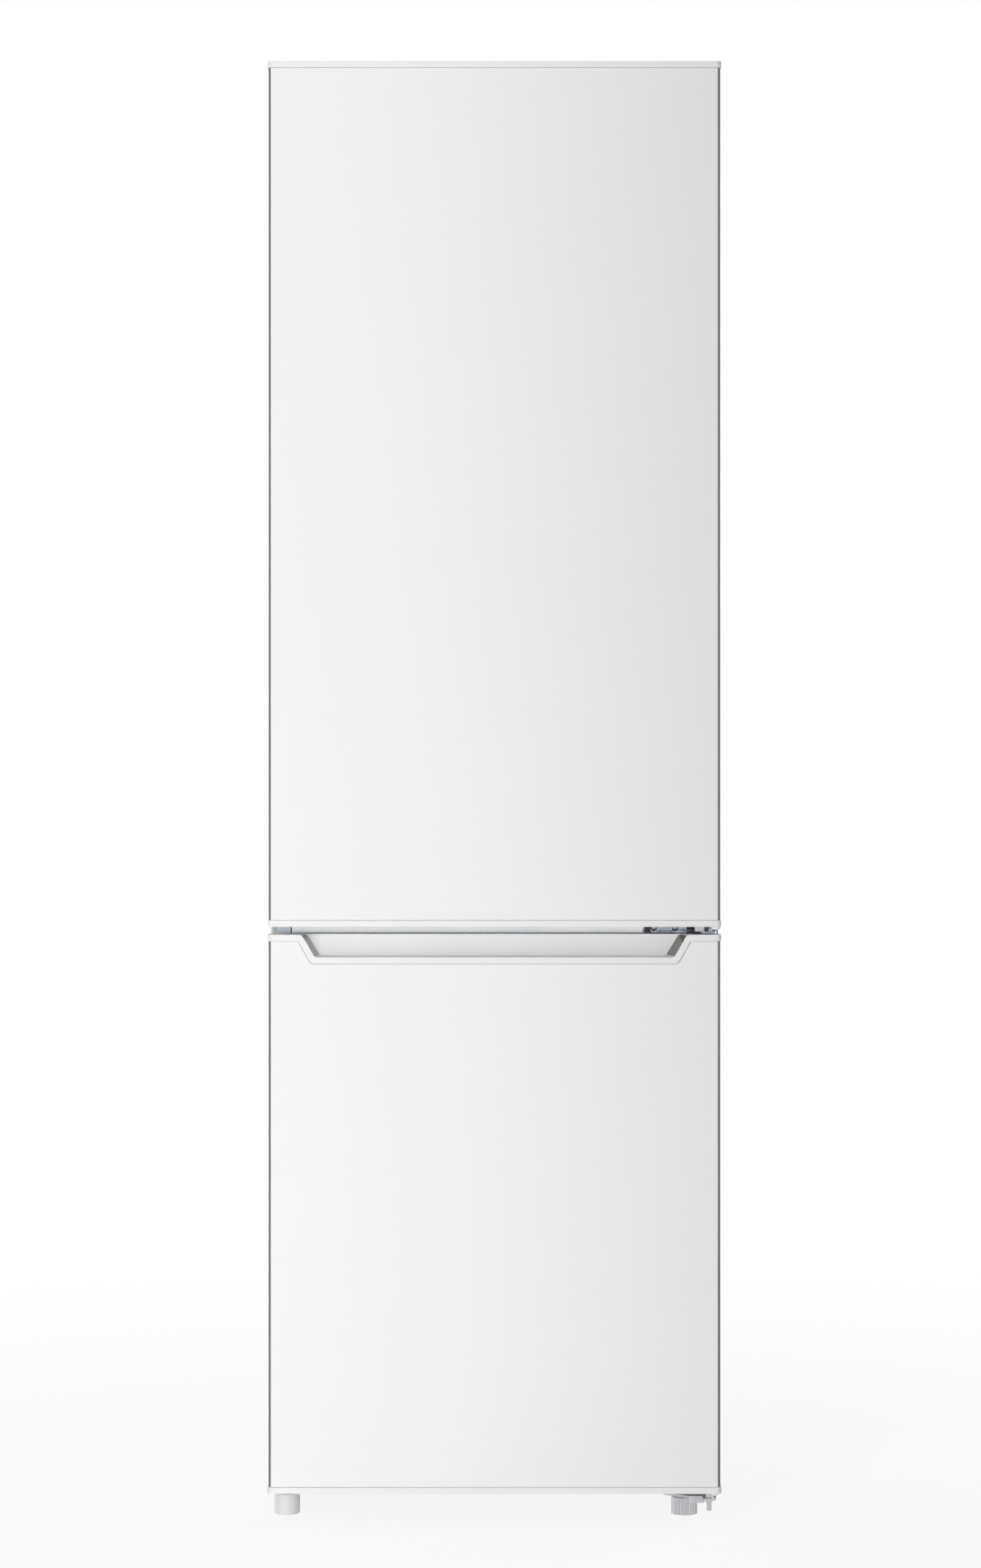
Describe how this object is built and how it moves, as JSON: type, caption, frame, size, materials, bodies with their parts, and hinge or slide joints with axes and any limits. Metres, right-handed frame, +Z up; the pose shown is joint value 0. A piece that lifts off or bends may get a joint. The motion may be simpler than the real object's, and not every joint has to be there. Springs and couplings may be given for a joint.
{
  "type": "upright fridge freezer",
  "caption": "Tall white two-door fridge freezer with a freezer below, right-hand hinges, a hand scoop in the lower door, glass shelves, door bins and drawers.",
  "frame": {"origin": "on the floor, under the middle of the closed appliance's bounding box", "axes": "+X to the right as seen from the front, +Y to the back, +Z up"},
  "size_m": [0.548, 0.56, 1.7648],
  "materials": {
    "painted_white": "satin white powder coat",
    "door_white": "satin white pre-painted steel",
    "back_grey": "matte pale grey sheet",
    "zinc": "bright zinc plate",
    "rail_white": "satin white enamel",
    "foam": "rigid polyurethane foam, matte",
    "liner_white": "vacuum-formed white, soft gloss",
    "trim_white": "moulded white, soft gloss",
    "foot_white": "moulded white, matte",
    "seal": "soft white vinyl, matte",
    "black_steel": "black enamel, satin",
    "black_rubber": "matte rubber",
    "black_plastic": "moulded black, matte",
    "copper": "drawn copper, slightly dulled",
    "evaporator_alu": "roll-bonded plate, mill finish",
    "evaporator_white": "white-coated steel tube",
    "lamp_glass": "clear bulb",
    "lens": "translucent diffuser",
    "shelf_glass": "tempered float glass",
    "clear_plastic": "clear polystyrene"
  },
  "bodies": {
    "root": {"outer_shell": "painted_white", "back_panel": "back_grey", "base_frame": "zinc", "cabinet_foam": "foam", "fridge_liner": "liner_white", "freezer_liner": "liner_white", "middle_rail": "rail_white", "top_hinge": "zinc", "top_hinge_cover": "trim_white", "middle_hinge": "zinc", "hinge_blanking_plate": "zinc", "bottom_hinge": "zinc", "hinge_screws": "zinc", "compressor": "black_steel", "compressor_mounts": "black_rubber", "terminal_box": "black_plastic", "condenser_coil": "black_steel", "condenser_wires": "black_steel", "condenser_brackets": "black_plastic", "filter_drier": "copper", "refrigerant_pipes": "copper", "fridge_evaporator": "evaporator_alu", "freezer_evaporator": "evaporator_white", "drain_tube": "trim_white", "evaporating_tray": "black_plastic", "power_inlet": "black_plastic", "control_housing": "trim_white", "lamp": "lamp_glass", "lamp_lens": "lens", "glass_shelf_upper": "shelf_glass", "glass_shelf_middle": "shelf_glass", "glass_shelf_lower": "shelf_glass", "shelf_trims": "trim_white", "crisper_lid": "shelf_glass"},
    "fridge_door": {"fridge_door_skin": "door_white", "fridge_door_foam": "foam", "fridge_door_liner": "liner_white", "fridge_door_gasket": "seal", "fridge_door_top_trim": "trim_white", "fridge_door_bottom_trim": "trim_white", "fridge_door_bushes": "trim_white"},
    "freezer_door": {"freezer_door_skin": "door_white", "freezer_door_foam": "foam", "freezer_door_liner": "liner_white", "freezer_door_gasket": "seal", "freezer_door_top_trim": "trim_white", "freezer_door_bottom_trim": "trim_white", "freezer_door_bushes": "trim_white"},
    "crisper": {"crisper_drawer": "clear_plastic"},
    "freezer_drawer_top": {"freezer_drawer_top": "clear_plastic"},
    "freezer_drawer_middle": {"freezer_drawer_middle": "clear_plastic"},
    "freezer_drawer_bottom": {"freezer_drawer_bottom": "clear_plastic"},
    "door_bin_top": {"door_bin_top": "clear_plastic"},
    "door_bin_upper": {"door_bin_upper": "clear_plastic"},
    "door_bin_lower": {"door_bin_lower": "clear_plastic"},
    "bottle_shelf": {"bottle_shelf": "clear_plastic"},
    "thermostat_knob": {"thermostat_knob": "trim_white"},
    "left_foot": {"left_foot": "foot_white"},
    "right_foot": {"right_foot": "foot_white"},
    "rear_rollers": {"rear_rollers": "black_plastic"}
  },
  "joints": [
    {"name": "fridge_door_hinge", "type": "hinge", "parent": "root", "child": "fridge_door", "pos_m": [0.2605, -0.25, 1.24], "axis": [0, 0, 1], "range_deg": [0, 120]},
    {"name": "freezer_door_hinge", "type": "hinge", "parent": "root", "child": "freezer_door", "pos_m": [0.2605, -0.25, 0.375], "axis": [0, 0, 1], "range_deg": [0, 120]},
    {"name": "crisper_slide", "type": "slide", "parent": "root", "child": "crisper", "axis": [0, -1, 0], "range_m": [0, 0.21]},
    {"name": "freezer_drawer_top_slide", "type": "slide", "parent": "root", "child": "freezer_drawer_top", "axis": [0, -1, 0], "range_m": [0, 0.21]},
    {"name": "freezer_drawer_middle_slide", "type": "slide", "parent": "root", "child": "freezer_drawer_middle", "axis": [0, -1, 0], "range_m": [0, 0.21]},
    {"name": "freezer_drawer_bottom_slide", "type": "slide", "parent": "root", "child": "freezer_drawer_bottom", "axis": [0, -1, 0], "range_m": [0, 0.21]},
    {"name": "door_bin_top_lift", "type": "slide", "parent": "fridge_door", "child": "door_bin_top", "axis": [0, 0, 1], "range_m": [0, 0.015]},
    {"name": "door_bin_upper_lift", "type": "slide", "parent": "fridge_door", "child": "door_bin_upper", "axis": [0, 0, 1], "range_m": [0, 0.015]},
    {"name": "door_bin_lower_lift", "type": "slide", "parent": "fridge_door", "child": "door_bin_lower", "axis": [0, 0, 1], "range_m": [0, 0.015]},
    {"name": "bottle_shelf_lift", "type": "slide", "parent": "fridge_door", "child": "bottle_shelf", "axis": [0, 0, 1], "range_m": [0, 0.015]},
    {"name": "thermostat_turn", "type": "hinge", "parent": "root", "child": "thermostat_knob", "pos_m": [0.06, -0.1185, 1.686], "axis": [0, -1, 0], "range_deg": [0, 270]},
    {"name": "left_foot_turn", "type": "hinge", "parent": "root", "child": "left_foot", "pos_m": [-0.2538, -0.2035, 0], "axis": [0, 0, 1], "range_deg": [0, 720]},
    {"name": "right_foot_turn", "type": "hinge", "parent": "root", "child": "right_foot", "pos_m": [0.2326, -0.2035, 0], "axis": [0, 0, 1], "range_deg": [0, 720]},
    {"name": "rear_roller_spin", "type": "hinge", "parent": "root", "child": "rear_rollers", "pos_m": [0, 0.226, 0.0134], "axis": [1, 0, 0], "continuous": true}
  ],
  "couplings": [
    {"joint": "crisper_slide", "follows": "fridge_door_hinge", "m_per_rad": 0.1},
    {"joint": "freezer_drawer_top_slide", "follows": "freezer_door_hinge", "m_per_rad": 0.1},
    {"joint": "freezer_drawer_middle_slide", "follows": "freezer_door_hinge", "m_per_rad": 0.1},
    {"joint": "freezer_drawer_bottom_slide", "follows": "freezer_door_hinge", "m_per_rad": 0.1}
  ]
}
